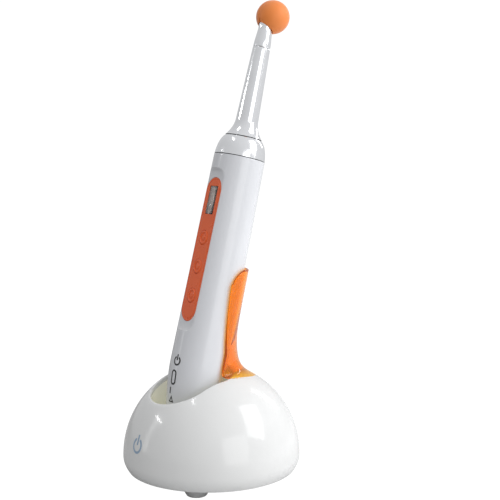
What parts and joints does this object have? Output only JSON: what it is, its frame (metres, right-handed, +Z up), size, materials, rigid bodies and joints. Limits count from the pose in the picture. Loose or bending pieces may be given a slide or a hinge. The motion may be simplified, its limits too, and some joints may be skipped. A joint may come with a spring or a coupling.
{
  "type": "dental curing light with charging base",
  "caption": "Slim white wand-shaped dental curing light with an orange control panel and round light shield, leaning on an amber rest in a domed charging base.",
  "frame": {"origin": "on the table under the middle of the domed base", "axes": "+Z up; -Y is the side the control panel faces, and the handpiece leans towards +Y; +X is to the right seen from the front"},
  "size_m": [0.096, 0.098, 0.2563],
  "materials": {
    "shell_white": "gloss white",
    "well_white": "gloss white, shaded",
    "amber": "clear amber plastic, gloss",
    "plate_grey": "matte light grey",
    "feet_grey": "matte light grey rubber",
    "steel": "plain steel",
    "ballast_iron": "plain",
    "board_green": "solder mask",
    "chip_black": "matte black",
    "brass": "plain",
    "dark_plastic": "matte dark grey",
    "natural_plastic": "matte ivory",
    "seal_rubber": "matte black rubber",
    "lead_red": "wire sleeve",
    "cell_blue": "shrink sleeve",
    "mark_blue": "light blue ink",
    "mark_black": "black ink",
    "panel_orange": "satin orange-red",
    "display_grey": "grey window",
    "lcd_dark": "matte",
    "polished_steel": "polished",
    "copper": "plain copper",
    "lens_clear": "clear",
    "emitter": "pale yellow emitter",
    "ceramic_white": "matte white",
    "shield_orange": "matte orange silicone"
  },
  "bodies": {
    "base": {"dome_shell": "shell_white", "base_mark": "mark_blue", "socket_well": "well_white", "cradle_rest": "amber", "base_plate": "plate_grey", "base_feet": "feet_grey", "base_screws": "steel", "ballast_plate": "ballast_iron", "ballast_screws": "steel", "charge_board": "board_green", "charge_chips": "chip_black", "board_standoffs": "brass", "power_inlet": "dark_plastic", "pin_block": "dark_plastic", "block_screws": "steel", "pin_spring_left": "steel", "pin_spring_right": "steel", "pin_leads": "lead_red"},
    "pin_left": {"charge_pin_left": "brass"},
    "pin_right": {"charge_pin_right": "brass"},
    "handpiece": {"handle_shell": "shell_white", "handle_mark": "mark_black", "tail_cap": "shell_white", "tail_seal": "seal_rubber", "charge_contacts": "brass", "battery_cell": "cell_blue", "battery_spring": "steel", "battery_contact": "steel", "inner_frame": "dark_plastic", "main_board": "board_green", "board_chips": "chip_black", "tact_switches": "steel", "lcd_module": "lcd_dark", "buzzer": "chip_black", "control_panel": "panel_orange", "display_window": "display_grey", "collar_gasket": "seal_rubber", "neck_collar": "polished_steel", "neck_bush": "natural_plastic", "neck_gasket": "seal_rubber", "contact_socket": "dark_plastic"},
    "power_key": {"power_button": "panel_orange"},
    "mode_key": {"mode_button": "panel_orange"},
    "time_key": {"time_button": "panel_orange"},
    "neck": {"neck_tube": "polished_steel", "neck_clip": "steel", "heat_rod": "copper", "contact_plug": "brass", "head_shell": "polished_steel", "led_board": "ceramic_white", "led_chip": "emitter", "lens_ring": "dark_plastic", "head_lens": "lens_clear"},
    "shield": {"light_shield": "shield_orange"}
  },
  "joints": [
    {"name": "handpiece_lift", "type": "slide", "parent": "base", "child": "handpiece", "axis": [0, 0.2419, 0.9703], "range_m": [0, 0.106]},
    {"name": "neck_turn", "type": "hinge", "parent": "handpiece", "child": "neck", "pos_m": [0, 0.02198, 0.1828], "axis": [0, 0.2419, 0.9703], "continuous": true},
    {"name": "shield_pull", "type": "slide", "parent": "neck", "child": "shield", "axis": [0, 0.2419, 0.9703], "range_m": [0, 0.02]},
    {"name": "power_press", "type": "slide", "parent": "handpiece", "child": "power_key", "axis": [0, 0.9676, -0.2526], "range_m": [0, 0.0004], "stiffness_N_per_m": 200, "springref_m": -0.001},
    {"name": "mode_press", "type": "slide", "parent": "handpiece", "child": "mode_key", "axis": [0, 0.9676, -0.2526], "range_m": [0, 0.0004], "stiffness_N_per_m": 200, "springref_m": -0.001},
    {"name": "time_press", "type": "slide", "parent": "handpiece", "child": "time_key", "axis": [0, 0.9676, -0.2526], "range_m": [0, 0.0004], "stiffness_N_per_m": 200, "springref_m": -0.001},
    {"name": "left_pin_press", "type": "slide", "parent": "base", "child": "pin_left", "axis": [0, 0.2419, 0.9703], "range_m": [-0.0012, 0], "stiffness_N_per_m": 200, "springref_m": 0.001, "deforming": ["pin_spring_left"]},
    {"name": "right_pin_press", "type": "slide", "parent": "base", "child": "pin_right", "axis": [0, 0.2419, 0.9703], "range_m": [-0.0012, 0], "stiffness_N_per_m": 200, "springref_m": 0.001, "deforming": ["pin_spring_right"]}
  ]
}
